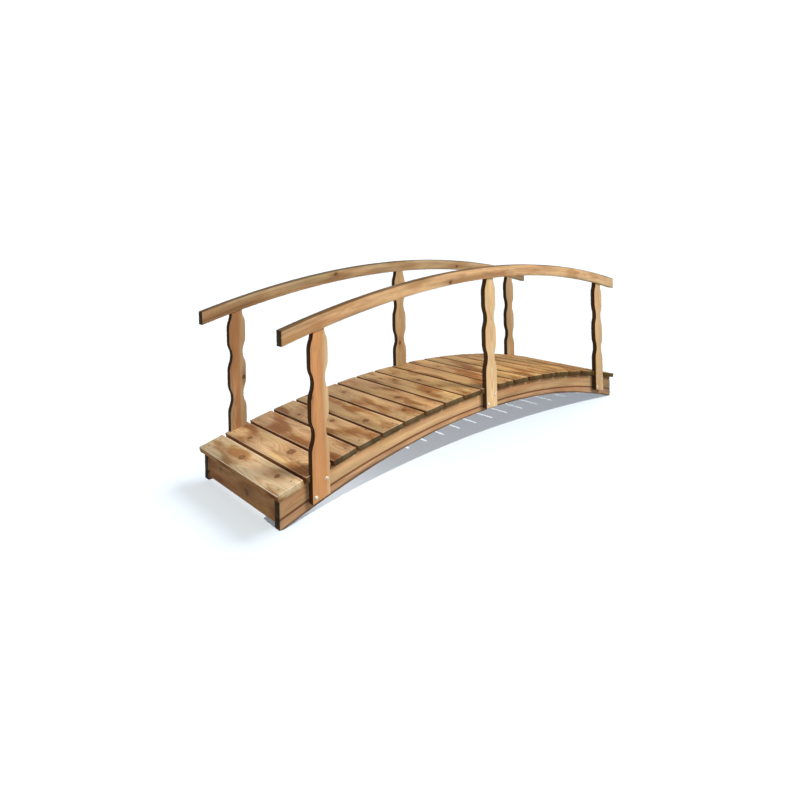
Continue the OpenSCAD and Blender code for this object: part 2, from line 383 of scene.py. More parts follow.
def coach_bolts_tree():
    """Two coach bolts along Y, each with a domed head, a shank, a washer and a hexagon nut."""
    w, given = start_tree(
        "coach bolts",
        "side grip head head_height shank washer washer_thickness nut_flats nut_height tail",
        places="first second")

    def disc(radius, start, height, sides=32, rings=1):
        """A cylinder along Z that starts at the given height."""
        mesh = w.node("GeometryNodeMeshCylinder", {
            "Vertices": sides, "Fill Segments": rings, "Radius": radius, "Depth": height},
            fill_type="TRIANGLE_FAN" if rings > 1 else "NGON").outputs["Mesh"]
        return moved(w, mesh, w.vector(0, 0, w.plus(start, w.times(height, 0.5))))

    half_head = w.times(given.head, 0.5)
    slope = w.reach(half_head, given.head_height)
    dome_radius = w.maths("DIVIDE", w.times(slope, slope), w.times(given.head_height, 2))
    blank = disc(half_head, w.times(given.head_height, -1), given.head_height, rings=6)
    x, y, z = w.parts(w.node("GeometryNodeInputPosition").outputs[0])
    dome = w.minus(w.minus(dome_radius, given.head_height), w.leg(dome_radius, w.reach(x, y)))
    rim_share, just_below = 0.18, -1e-5
    rim = w.maths("MINIMUM", dome, w.times(given.head_height, -rim_share))
    level = w.times(rim, w.maths("LESS_THAN", z, just_below))
    head = shaped(w, blank, w.vector(x, y, level))
    under_nut = w.plus(given.grip, given.washer_thickness)
    nut_radius = w.times(given.nut_flats, 0.5 / math.cos(math.pi / 6))
    length = w.plus(w.plus(under_nut, given.nut_height), given.tail)
    join = w.node("GeometryNodeJoinGeometry")
    for solid in (
        head,
        disc(w.times(given.shank, 0.5), 0, length, sides=24),
        disc(w.times(given.washer, 0.5), given.grip, given.washer_thickness, sides=40),
        disc(nut_radius, under_nut, given.nut_height, sides=6),
    ):
        w.tree.links.new(solid, join.inputs[0])
    both = w.node("GeometryNodeJoinGeometry")
    quarter_turn = w.vector(w.times(given.side, math.pi / 2), 0, 0)
    for place in (given.first, given.second):
        w.tree.links.new(moved(w, join.outputs[0], place, quarter_turn), both.inputs[0])
    return end_tree(w, both.outputs[0])


# Making pieces

def link(thing):
    bpy.context.scene.collection.objects.link(thing)
    return thing


def ease_edges(thing, width, segments=3, angle=40):
    """Rounds the sharp edges and keeps the flat faces' shading flat."""
    bevel = thing.modifiers.new("eased edges", "BEVEL")
    bevel.width = width
    bevel.segments = segments
    bevel.limit_method = "ANGLE"
    bevel.angle_limit = math.radians(angle)
    bevel.harden_normals = True


def keep_shape(thing):
    """Turns what the modifiers make into the piece's own plain mesh."""
    deps = bpy.context.evaluated_depsgraph_get()
    mesh = bpy.data.meshes.new_from_object(
        thing.evaluated_get(deps), preserve_all_data_layers=True, depsgraph=deps)
    thing.modifiers.clear()
    thing.data = mesh


def grow(name, tree, material, ease=None, smooth=True, **values):
    """Makes one piece with a geometry node tree and its named inputs."""
    piece = link(bpy.data.objects.new(name, bpy.data.meshes.new(name)))
    nodes = piece.modifiers.new("shape", "NODES")
    nodes.node_group = tree
    inputs = [item for item in tree.interface.items_tree if item.in_out == "INPUT"]
    sockets = {item.name: item.identifier for item in inputs}
    nodes[sockets["material"]] = material
    for label, value in values.items():
        nodes[sockets[label.replace("_", " ")]] = value
    if ease:
        ease_edges(piece, ease)
    keep_shape(piece)
    if smooth:
        piece.data.shade_smooth()
    return piece


def copy_solid(name, node, material, ease):
    """A merged copy of a solid with eased edges, for a shape that is right as it is."""
    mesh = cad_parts[node].data.copy()
    mesh.materials.clear()
    mesh.materials.append(material)
    shape = bmesh.new()
    shape.from_mesh(mesh)
    bmesh.ops.remove_doubles(shape, verts=shape.verts, dist=1e-5)
    bmesh.ops.dissolve_limit(shape, angle_limit=math.radians(1), verts=shape.verts, edges=shape.edges)
    shape.to_mesh(mesh)
    shape.free()
    if "custom_normal" in mesh.attributes:
        mesh.attributes.remove(mesh.attributes["custom_normal"])
    piece = link(bpy.data.objects.new(name, mesh))
    ease_edges(piece, ease)
    keep_shape(piece)
    return piece


# How the grain lies. Each function turns places into metres along, across and through the timber.

def lie_of_board(number):
    angle = board_angle(number)
    middle = top_arch.radius + BOARD_THICKNESS / 2

    def lie(places):
        x = places[:, 0]
        z = places[:, 2] - top_arch.centre_z
        across = x * math.cos(angle) - z * math.sin(angle)
        through = x * math.sin(angle) + z * math.cos(angle) - middle
        return np.stack([places[:, 1], across, through], axis=1)

    return lie


def lie_of_arch(arch, side_y):
    def lie(places):
        x = places[:, 0]
        z = places[:, 2] - arch.centre_z
        along = arch.radius * np.arctan2(x, z)
        return np.stack([along, np.hypot(x, z) - arch.radius, places[:, 1] - side_y], axis=1)

    return lie


def lie_upright(x, y):
    return lambda places: np.stack([places[:, 2], places[:, 0] - x, places[:, 1] - y], axis=1)


def lie_crosswise(x, z):
    return lambda places: np.stack([places[:, 1], places[:, 2] - z, places[:, 0] - x], axis=1)


def rows_of(items, field):
    """Three numbers of every point or face, a row for each."""
    values = np.zeros(len(items) * 3)
    items.foreach_get(field, values)
    return values.reshape(-1, 3)


def put(mesh, name, kind, domain, values):
    layer = mesh.attributes.new(name, kind, domain)
    field = "vector" if kind == "FLOAT_VECTOR" else "value"
    layer.data.foreach_set(field, np.ascontiguousarray(values, dtype=np.float32).ravel())


def mark_groove(piece):
    """Marks how near the seam between a stringer's layers each point is: 1 on it, 0 at GROOVE_FADE from
    it.
    """
    points = rows_of(piece.data.vertices, "co")
    off = np.hypot(points[:, 0], points[:, 2] - seam_arch.centre_z) - seam_arch.radius
    put(piece.data, "groove", "FLOAT", "POINT", 1 - abs(off) / GROOVE_FADE)


def mark_timber(piece, lie, seed, tone=1.0, hue=0.0, heart=0.5, end_tone=1.0, placed_knots=()):
    """Stores where each point lies in the timber, and which faces are end grain, sawn edges or eased.

    The tone multiplies the colour: it is a number, a colour, or a function of the points' X that
    gives numbers. The end tone says how fully the end grain's own colour shows. A placed knot is
    (along, across, radius).
    """
    mesh = piece.data
    points = rows_of(mesh.vertices, "co")
    normals = rows_of(mesh.polygons, "normal")
    centres = rows_of(mesh.polygons, "center")
    step = 1e-4
    along, across, through = abs(lie(centres + step * normals) - lie(centres)).T / step
    end_grain = along > END_FACING
    end_arris = (along > SLANTED) & ~end_grain & (across < SLANTED)
    sawn_edge = (across > EDGE_FACING) & (along < END_FACING)
    long_arris = (through > LEAST_EASED) & (through < MOST_EASED) & (along < SLANTED)
    put(mesh, "grain", "FLOAT_VECTOR", "POINT", lie(points))
    put(mesh, "end_grain", "FLOAT", "FACE", end_grain * end_tone + end_arris * END_ARRIS_SHARE)
    put(mesh, "sawn_edge", "FLOAT", "FACE", sawn_edge)
    put(mesh, "arris", "FLOAT", "FACE", long_arris)
    shade = tone(points[:, 0])[:, None] if callable(tone) else tone
    put(mesh, "tone", "FLOAT_VECTOR", "POINT", np.ones((len(points), 3)) * shade)
    for name, value in (("seed", seed), ("hue", hue), ("heart", heart)):
        put(mesh, name, "FLOAT", "POINT", np.full(len(points), value))
    for name, place in zip(KNOT_NAMES, placed_knots):
        put(mesh, name, "FLOAT_VECTOR", "POINT", np.tile(place, (len(points), 1)))


def stand_for(piece, node):
    """The piece takes a solid's place. It has to lie where that solid lies."""
    points = rows_of(piece.data.vertices, "co")
    low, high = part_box(node)
    off = max(abs(points.min(0) - np.array(low)).max(), abs(points.max(0) - np.array(high)).max())
    if off > LARGEST_OFFSET:
        raise ValueError(f"{piece.name} is {off * 1000:.1f} mm off {node}")
    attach(piece, "root")
    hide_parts(node)


seeds = iter((0.137 + 0.618034 * turn) % 1 for turn in range(200))


# Materials

def rgb(red, green, blue):
    """A colour as a screen shows it, from 0 to 255, turned into light."""
    def light(c):
        return ((c / 255 + 0.055) / 1.055) ** 2.4 if c > 10 else c / 3295

    return (light(red), light(green), light(blue), 1)


def noise(w, vector, scale=1.0, detail=2.0, roughness=0.5, output="Fac"):
    return w.node("ShaderNodeTexNoise", {
        "Vector": vector, "Scale": scale, "Detail": detail, "Roughness": roughness}).outputs[output]


def mix(w, share, first, second, blend="MIX"):
    made = w.node("ShaderNodeMix", {0: share}, data_type="RGBA", blend_type=blend)
    w.feed(made.inputs[6], first)
    w.feed(made.inputs[7], second)
    return made.outputs[2]


def attribute(w, name, output="Fac"):
    return w.node("ShaderNodeAttribute", attribute_name=name).outputs[output]


def start_material(name):
    material = bpy.data.materials.new(name)
    material.use_nodes = True
    material.node_tree.nodes.clear()
    w = Wiring(material.node_tree)
    shader = w.node("ShaderNodeBsdfPrincipled")
    w.node("ShaderNodeOutputMaterial", {"Surface": shader.outputs[0]})
    return material, w, shader


class Marks:
    """What mark_timber stored on a piece, as sockets in one material, and noise that follows it."""

    def __init__(self, w):
        self.w = w
        self.along, self.across, self.through = w.parts(attribute(w, "grain", "Vector"))
        self.tone = attribute(w, "tone", "Vector")
        self.seed, self.hue, self.heart = (attribute(w, name) for name in ("seed", "hue", "heart"))
        self.end_grain, self.sawn_edge = attribute(w, "end_grain"), attribute(w, "sawn_edge")
        self.arris, self.groove = attribute(w, "arris"), attribute(w, "groove")

    def streaks(self, scale_along, scale_across, detail, shift):
        """Noise drawn out along the grain. Another shift gives other streaks."""
        w = self.w
        place = w.vector(w.plus(w.times(self.along, scale_along), w.times(self.seed, shift)),
                         w.times(self.across, scale_across), w.times(self.through, scale_across))
        return noise(w, place, detail=detail)


def knot(w, away_u, away_v, radius, seed, present):
    """One knot: how deep a point is in it and in the bent grain round it, and its distance in radii."""
    ragged = noise(w, w.vector(w.times(away_u, 90), w.times(away_v, 90), seed), detail=2.0)
    uneven = w.line(ragged, 0.3, 0.7, 0.75, 1.25)
    away = w.maths("DIVIDE", w.times(w.reach(w.times(away_u, 0.8485), away_v), uneven), radius)
    core = w.times(present, w.ramp(away, 0.60, 1.30, 1.0, 0.0))
    spread = w.maths("DIVIDE", w.reach(w.times(away_u, 0.4), away_v), radius)
    halo = w.times(present, w.maths("EXPONENT", w.times(w.times(spread, spread), -0.28)))
    return core, halo, away


def placed_knot(w, marks, name):
    """The knot that a piece's attribute names, as (along, across, radius). Without it there is none."""
    least_radius, far_away = 0.001, 10
    knot_along, knot_across, radius = w.parts(attribute(w, name, "Vector"))
    present = w.maths("GREATER_THAN", radius, least_radius)
    core, halo, away = knot(
        w, w.minus(marks.along, knot_along), w.minus(marks.across, knot_across),
        w.maths("MAXIMUM", radius, least_radius), marks.seed, present)
    return core, halo, w.plus(away, w.times(w.minus(1, present), far_away))


def spread_knots(w, marks, spacing, amount):
    """Knots spread over the timber at random, at most one in each cell of it."""
    squeeze = 2.6
    smallest, largest = 0.005, 0.012
    u = w.plus(w.times(marks.along, 1 / spacing), w.times(marks.seed, 31.7))
    v = w.plus(w.times(marks.across, squeeze / spacing), w.times(marks.seed, 17.3))
    cell = w.node("ShaderNodeTexVoronoi", {"Vector": w.vector(u, v, 0), "Scale": 1.0},
                  voronoi_dimensions="2D", feature="F1")
    centre_u, centre_v, _ = w.parts(cell.outputs["Position"])
    away_u = w.times(w.minus(u, centre_u), spacing)
    away_v = w.times(w.minus(v, centre_v), spacing / squeeze)
    red, green, _ = w.channels(cell.outputs["Color"])
    present = w.maths("GREATER_THAN", green, 1 - amount)
    radius = w.line(red, 0.0, 1.0, smallest, largest)
    return knot(w, away_u, away_v, radius, marks.seed, present)


def all_knots(w, marks, spacing, amount, placed):
    """A timber's random knots and, where placed, the two that each piece may name."""
    core, halo, away = spread_knots(w, marks, spacing, amount)
    for name in KNOT_NAMES if placed else ():
        next_core, next_halo, next_away = placed_knot(w, marks, name)
        core = w.maths("MAXIMUM", core, next_core)
        halo = w.maths("MAXIMUM", halo, next_halo)
        away = w.maths("MINIMUM", away, next_away)
    return core, halo, away


def growth_rings(w, marks, halo):
    """Annual rings round a pith that wanders: the share of dark late wood, and how far out a ring is."""
    along, across, through, seed = marks.along, marks.across, marks.through, marks.seed

    def by_seed(factor):
        """A value from 0 to 1 that differs from piece to piece."""
        return w.maths("FRACT", w.times(seed, factor))

    slow = w.vector(
        w.plus(w.times(along, 1.1), w.times(seed, 53)), w.times(across, 2.0), w.times(seed, 91))
    wander_x, wander_z, wander_out = w.channels(noise(w, slow, detail=1.5, output="Color"))
    pith_z = w.plus(0.040, w.times(by_seed(3.77), 0.045))
    off_x = w.plus(w.minus(across, w.swing(by_seed(7.31), 0.09)), w.swing(wander_x, 0.05))
    off_z = w.plus(w.plus(through, pith_z), w.swing(wander_z, 0.05))
    taper = w.swing(by_seed(5.13), 0.035)
    tapered = w.plus(w.plus(w.reach(off_x, off_z), w.times(along, taper)), w.times(halo, 0.016))
    crossed = w.plus(w.times(through, 46), seed)
    fine = noise(w, w.vector(w.times(along, 7), w.times(across, 46), crossed), detail=2.0)
    rings = w.plus(w.maths("DIVIDE", tapered, RING_SPACING), w.swing(fine, 0.9))
    share = w.maths("FRACT", rings)
    late = w.times(w.ramp(share, 0.30, 0.90), w.ramp(share, 0.93, 1.0, 1.0, 0.0))
    year = w.node("ShaderNodeTexWhiteNoise", {"W": w.plus(w.maths("FLOOR", rings), w.times(seed, 400))},
                  noise_dimensions="1D").outputs["Value"]
    strength = w.line(year, 0.0, 1.0, 0.35, 1.0)
    return w.times(late, strength), w.plus(tapered, w.times(wander_out, 0.02))


def heart_share(w, marks, reach, cloud, stripe):
    """How far heartwood shows: near the pith, and in a stripe along the middle of some timbers."""
    near_pith = w.ramp(w.plus(reach, w.swing(cloud, 0.05)), 0.045, 0.075, 1.0, 0.0)
    heart = w.times(near_pith, w.times(marks.heart, 1.5))
    if stripe:
        off_middle = w.maths("ABSOLUTE", w.plus(marks.across, w.swing(cloud, 0.03)))
        band = w.times(w.ramp(off_middle, 0.010, 0.020, stripe, 0.0), marks.heart)
        heart = w.maths("MAXIMUM", heart, band)
    return heart


def blushed(w, marks, wood, streak):
    """Wood that is pinker in some places and greener in others, and more so by the piece's hue."""
    blush = marks.streaks(3.0, 9.0 * streak, 2.0, 67)
    pink = w.plus(w.ramp(blush, 0.5, 0.75, 0.0, 0.5), w.maths("MAXIMUM", marks.hue, 0))
    green = w.plus(w.ramp(blush, 0.25, 0.45, 0.4, 0.0), w.maths("MAXIMUM", w.times(marks.hue, -1), 0))
    wood = mix(w, pink, wood, rgb(255, 226, 214), "MULTIPLY")
    return mix(w, green, wood, rgb(236, 240, 190), "MULTIPLY")


def drying_splits(w, marks):
    """Fine splits along the grain, in patches."""
    line = marks.streaks(2.6, 75, 1.0, 83)
    patches = w.ramp(marks.streaks(1.7, 6, 1.0, 101), 0.58, 0.70)
    return w.times(w.ramp(w.maths("ABSOLUTE", w.minus(line, 0.5)), 0.0, 0.011, 1.0, 0.0), patches)


def knotted(w, wood, core, halo, knot_away):
    """Adds the knots, dark at the rim, and the browner grain round them."""
    knot_colour = mix(w, w.ramp(knot_away, 0.2, 0.95), rgb(132, 88, 46), rgb(88, 54, 26))
    wood = mix(w, w.times(halo, 0.60), wood, rgb(146, 94, 52))
    return mix(w, w.times(core, 0.88), wood, knot_colour)


def cut_faces_coloured(w, marks, wood, late, mottle, end_colour, sawn_edge_shade):
    """Gives end grain its own dark colour, and makes sawn edges browner as painted shade."""
    shaded = mix(w, 1.0, wood, rgb(120, 110, 92), "MULTIPLY")
    end_wood = mix(w, w.times(mottle, 0.3), rgb(*end_colour), shaded)
    end_share = w.times(marks.end_grain, w.line(late, 0.0, 1.0, 0.93, 1.0))
    wood = mix(w, end_share, wood, end_wood)
    # Sawn edges browner: painted shade
    painted_edge_shade = w.times(marks.sawn_edge, min(1, 2 * sawn_edge_shade))
    return mix(w, painted_edge_shade, wood, rgb(255, 218, 176), "MULTIPLY")


def seam_and_groove_shade(w, marks, wood):
    """Darkens the line where the two layers of a stringer meet: the joint itself, with painted shade for
    the groove along it, which the pieces don't cut.
    """
    start, full = (1 - share * GROOVE_WIDTH / GROOVE_FADE for share in (1, 0.3))
    dark = w.times(w.ramp(marks.groove, start, full), 0.85)
    return mix(w, dark, wood, rgb(150, 104, 70), "MULTIPLY")


def edge_band_level(w, marks, mottle, place, width):
    """How light a timber stays beside a dark band at a place across it."""
    off_edge = w.maths("ABSOLUTE", w.minus(marks.across, place))
    return w.ramp(w.plus(off_edge, w.swing(mottle, width)), width * 0.5, width, 0.42, 1.0)


def bump(w, shader, height, strength):
    made = w.node("ShaderNodeBump", {"Height": height, "Strength": strength, "Distance": 1.0})
    w.feed(shader.inputs["Normal"], made.outputs[0])


def timber(name, sapwood, heartwood, latewood, knot_spacing=0.24, knot_amount=0.45,
           end_colour=(64, 48, 30), sawn_edge_shade=0.15, saw_marks=0.0, stain=0.0, stripe=0.0,
           arris_highlight=0.0, placed=False, dark_edge_band=None, streak=1.0, contrast=1.0, shine=0.20):
    """Planed pine that reads the marks on each piece.

    knot_spacing is the size of the cells for random knots, and knot_amount the share of them that
    hold one. placed adds the knots that a piece names. sawn_edge_shade says how much darker sawn
    edges are painted, as shade, and saw_marks how deep their ripple is. stain and stripe say how
    strongly brown patches and heartwood along the middle show, and arris_highlight how strongly a
    painted highlight lightens the eased long edges. dark_edge_band is (place across, width) of a dark
    band along the timber; on the stringers' upper layers it is painted shade under the deck.
    streak says how narrow the bands of colour are, and contrast how much they differ.
    """
    material, w, shader = start_material(name)
    marks = Marks(w)
    core, halo, knot_away = all_knots(w, marks, knot_spacing, knot_amount, placed)
    late, reach = growth_rings(w, marks, halo)
    fibre = marks.streaks(16, 900, 3.0, 11)
    mottle = marks.streaks(2.4, 17 * streak, 3.0, 23)
    cloud = marks.streaks(1.2, 4.0, 2.0, 41)
    split = drying_splits(w, marks)

    wood = mix(w, heart_share(w, marks, reach, cloud, stripe), rgb(*sapwood), rgb(*heartwood))
    wood = mix(w, w.times(late, 0.62), wood, rgb(*latewood))
    wood = mix(w, w.ramp(fibre, 0.45, 0.72, 0.0, 0.30), wood, rgb(205, 178, 140), "MULTIPLY")
    wood = blushed(w, marks, wood, streak)
    if stain:
        brown = w.times(w.ramp(marks.streaks(3.4, 11, 3.0, 59), 0.46, 0.64), stain)
        wood = mix(w, brown, wood, rgb(194, 162, 128), "MULTIPLY")
    wood = mix(w, w.times(split, 0.6), wood, rgb(70, 46, 24))
    wood = knotted(w, wood, core, halo, knot_away)
    # Painted highlight: pale streaks along the eased long edges
    if arris_highlight:
        painted_arris_light = w.times(w.times(marks.arris, arris_highlight), w.ramp(mottle, 0.3, 0.6))
        wood = mix(w, painted_arris_light, wood, rgb(232, 212, 184))
    wood = cut_faces_coloured(w, marks, wood, late, mottle, end_colour, sawn_edge_shade)
    wood = seam_and_groove_shade(w, marks, wood)

    dark, pale = 0.97 - 0.17 * contrast, 0.97 + 0.17 * contrast
    level = w.times(w.line(mottle, 0.28, 0.72, dark, pale),
                    w.line(cloud, 0.3, 0.7, 0.90, 1.07))
    # The eased long edges are lightened: a painted highlight
    level = w.times(level, w.plus(1, w.times(w.times(marks.arris, mottle), 0.35)))
    # A dark band along one edge: on the stringers' upper layers it is painted shade under the deck
    # boards
    if dark_edge_band:
        level = w.times(level, edge_band_level(w, marks, mottle, *dark_edge_band))
    knot_ring = w.line(w.maths("SINE", w.times(knot_away, 11)), -1, 1, 0.75, 1.0)
    level = w.times(level, w.minus(1, w.times(core, w.minus(1, knot_ring))))
    # Sawn edges darker: painted shade, as in the gaps between deck boards and on the posts' shaded edges
    level = w.times(level, w.minus(1, w.times(marks.sawn_edge, sawn_edge_shade)))
    toned = w.node("ShaderNodeVectorMath", {0: wood, 1: marks.tone}, operation="MULTIPLY").outputs[0]
    w.feed(shader.inputs["Base Color"], w.scaled(toned, level))

    cut_face = w.maths("MINIMUM", w.plus(marks.end_grain, marks.sawn_edge), 1)
    rough = w.minus(w.plus(0.60, w.times(fibre, 0.16)), w.times(late, 0.07))
    rough = w.plus(rough, w.times(cut_face, 0.28))
    w.feed(shader.inputs["Roughness"], w.minus(rough, w.times(core, 0.10)))
    shader.inputs["Specular IOR Level"].default_value = shine

    height = w.plus(w.times(late, 0.00022), w.times(fibre, 0.00030))
    height = w.minus(w.plus(height, w.times(core, 0.00040)), w.times(split, 0.0010))
    if saw_marks:
        waves = w.plus(w.times(marks.along, 2 * math.pi / SAW_PITCH), w.times(marks.across, 300))
        ripple = w.maths("SINE", waves)
        height = w.plus(height, w.times(w.times(ripple, marks.sawn_edge), saw_marks))
    bump(w, shader, height, 0.8)
    return material


def tread_pine():
    """Deck boards: brown patches, sawn edges darkened as painted shade, painted highlights along the
    arrises and the knots named for each board.
    """
    return timber(
        "tread_pine", (208, 171, 123), (198, 150, 102), (160, 112, 66), end_colour=(68, 60, 38),
        sawn_edge_shade=0.50, knot_amount=0.18, stain=1.0, arris_highlight=0.8, placed=True, streak=1.4,
        contrast=1.4, shine=0.15)


def stringer_pine():
    """The stringers' upper layers: streaky, with painted shade in a band along the top edge, under the
    deck.
    """
    return timber(
        "stringer_pine", (212, 176, 130), (202, 156, 112), (166, 120, 76), knot_spacing=0.34,
        knot_amount=0.3, end_colour=(30, 20, 10), stain=0.3, dark_edge_band=(0.0, 0.010), streak=1.8,
        contrast=1.4)


def lower_layer_pine():
    """The stringers' lower layers: greyer, with a dark line along the lower edge."""
    return timber(
        "lower_layer_pine", (202, 163, 122), (192, 145, 105), (160, 116, 80), knot_spacing=0.34,
        knot_amount=0.15, end_colour=(30, 20, 10), stain=0.3, dark_edge_band=(0.0, 0.014), streak=1.8,
        contrast=1.4)


def rail_pine():
    """The handrails: pale, finely streaked, with a dark line along the upper edge."""
    return timber(
        "rail_pine", (219, 189, 144), (206, 162, 116), (172, 130, 86), knot_spacing=0.30,
        knot_amount=0.45, end_colour=(44, 30, 16), stain=0.5, stripe=0.7,
        dark_edge_band=(RAIL_HEIGHT / 2, 0.006), streak=2.2, contrast=1.7)


def post_pine():
    """The posts: heartwood along the middle, and bandsawn edges with saw marks, darkened as painted
    shade.
    """
    return timber(
        "post_pine", (222, 192, 146), (212, 155, 102), (180, 132, 86), knot_spacing=0.30,
        knot_amount=0.3, sawn_edge_shade=0.88, saw_marks=0.00012, stripe=1.0)


def end_board_pine():
    """The closing boards: brown and stained."""
    return timber(
        "end_board_pine", (206, 154, 98), (190, 134, 84), (146, 98, 56), knot_spacing=0.28,
        knot_amount=0.2, stain=0.8, placed=True)


def zinc(name, colour, dullness):
    """Zinc plating with a crystalline cloud, handling marks and duller patches."""
    material, w, shader = start_material(name)
    here = w.node("ShaderNodeTexCoord").outputs["Object"]
    cloud = noise(w, here, scale=90, detail=3.0)
    crystal = w.node("ShaderNodeTexVoronoi", {"Vector": here, "Scale": 420.0}).outputs["Color"]
    fleck, _, _ = w.channels(crystal)
    scratch = noise(w, here, scale=700, detail=2.0)
    dark = tuple(c * 0.55 for c in colour)
    base = mix(w, w.ramp(cloud, 0.35, 0.7), rgb(*colour), rgb(*dark))
    base = mix(w, w.times(fleck, 0.18), base, rgb(*dark))
    w.feed(shader.inputs["Base Color"], base)
    shader.inputs["Metallic"].default_value = 1.0
    w.feed(shader.inputs["Roughness"], w.plus(dullness, w.times(w.plus(cloud, scratch), 0.14)))
    bump(w, shader, w.plus(w.times(fleck, 0.00002), w.times(scratch, 0.00003)), 0.7)
    return material


# The pieces

# The larger knots in the deck boards: (across the bridge, along it from the board's middle, radius)
BOARD_KNOTS = {
    1: ((0.07, 0.010, 0.018), (-0.27, 0.020, 0.014)),
    2: ((0.22, -0.020, 0.015), (-0.14, 0.022, 0.024)),
    3: ((-0.16, 0.015, 0.019),),
    4: ((-0.05, 0.030, 0.016), (0.20, -0.030, 0.010)),
    5: ((-0.22, -0.025, 0.018),),
    6: ((0.24, 0.010, 0.016), (-0.30, 0.030, 0.015)),
    7: ((-0.12, -0.020, 0.019),),
    8: ((0.15, 0.035, 0.014), (-0.20, 0.000, 0.018)),
    9: ((0.02, -0.030, 0.016),),
    11: ((-0.24, 0.020, 0.016), (0.18, -0.010, 0.013)),
    13: ((0.05, 0.010, 0.018),),
    15: ((-0.15, -0.020, 0.016),),
    17: ((0.12, 0.020, 0.015),),
}


def board_look(number):
    """A deck board's tone, hue and share of heartwood: palest at the left, yellower to the right."""
    level = 1.09 - 0.034 * max(0, number - 10) + 0.07 * math.sin(number * 2.4 + 0.6)
    if number < 3:
        level += 0.38
    paler = 0.12 if number == 1 else 0
    along_deck = (number - 1) / (BOARDS - 1)
    green = 1.045 + paler - 0.15 * along_deck
    blue = 1.19 + 2.5 * paler - 0.66 * along_deck
    hue = 0.02 + 0.16 * math.sin(number * 1.7 + 2.6)
    heart = 0.4 + 0.3 * math.sin(number * 3.1)
    return (level, level * green, level * blue), hue, heart


def make_deck(material):
    tree = deck_board_tree()
    for number in range(1, BOARDS + 1):
        node = f"tread_{number:02d}"
        board = grow(
            f"deck_board_{number:02d}", tree, material, ease=BOARD_EASE,
            turn=board_angle(number), arch_radius=top_arch.radius, arch_centre=top_arch.centre_z,
            length=2 * (HALF_WIDTH + BOARD_OVERHANG), width=BOARD_WIDTH, thickness=BOARD_THICKNESS,
            notch_width=POST_WIDTH + 2 * NOTCH_PLAY, notch_from=HALF_WIDTH, post_x=POST_X)
        tone, hue, heart = board_look(number)
        mark_timber(
            board, lie_of_board(number), next(seeds), tone, hue, heart,
            end_tone=0.35 if number == 1 else 0.95, placed_knots=BOARD_KNOTS.get(number, ()))
        stand_for(board, node)


arched_tree = arched_timber_tree()


def arched(name, lower, upper, sign, material, ease, outwards=False):
    """A timber between two arcs, with its outer or, outwards, its inner face on the deck's edge."""
    inner = HALF_WIDTH if outwards else HALF_WIDTH - TIMBER
    sides = sorted((sign * inner, sign * (inner + TIMBER)))
    return grow(
        name, arched_tree, material, ease=ease, half_length=HALF_LENGTH, lowest=0.0,
        lower_radius=lower.radius, lower_centre=lower.centre_z, upper_radius=upper.radius,
        upper_centre=upper.centre_z, first_side=sides[0], second_side=sides[1], segments=241)


def bump_at(x, place, width):
    """1 at a place along the bridge, falling off on both sides."""
    return np.exp(-((x - place) / width) ** 2)


def stringer_tone(x):
    """Palest between the left and the middle post, and darkest at the right end."""
    ends = 0.14 * bump_at(x, -HALF_LENGTH, 0.22) + 0.42 * bump_at(x, HALF_LENGTH, 0.16)
    return 0.95 - 0.02 * x + 0.22 * bump_at(x, -0.40, 0.60) - ends


def lower_layer_tone(x):
    return (0.95 + 0.08 * x) * stringer_tone(x)


def make_stringers(upper_material, lower_material):
    for side, sign in SIDES.items():
        middle = sign * (HALF_WIDTH - TIMBER / 2)
        upper = arched(
            f"{side}_stringer_upper_layer", seam_arch, top_arch, sign, upper_material, STRINGER_EASE)
        mark_timber(upper, lie_of_arch(top_arch, middle), next(seeds), stringer_tone, 0.05)
        stand_for(upper, f"{side}_stringer_upper")
        lower = arched(
            f"{side}_stringer_lower_layer", underside_arch, seam_arch, sign, lower_material,
            STRINGER_EASE)
        mark_timber(lower, lie_of_arch(underside_arch, middle), next(seeds), lower_layer_tone, 0.1)
        stand_for(lower, f"{side}_stringer_lower")
        mark_groove(upper)
        mark_groove(lower)


def rail_tone(level, right_end):
    """A handrail's tone by X: a level, darker by a share at the right end."""
    return lambda x: level * (1 + 0.05 * x) * (1 - right_end * bump_at(x, HALF_LENGTH, 0.25))


def make_handrails(material):
    # The far rail's lower level is painted shade on the far side
    tones = {"near": rail_tone(1.09, 0.1), "far": rail_tone(0.80, 0.5)}
    for side, sign in SIDES.items():
        rail = arched(
            f"{side}_rail", rail_arch, rail_top_arch, sign, material, RAIL_EASE, outwards=True)
        middle = sign * (HALF_WIDTH + TIMBER / 2)
        mark_timber(rail, lie_of_arch(rail_middle_arch, middle), next(seeds), tones[side])
        stand_for(rail, f"{side}_handrail")


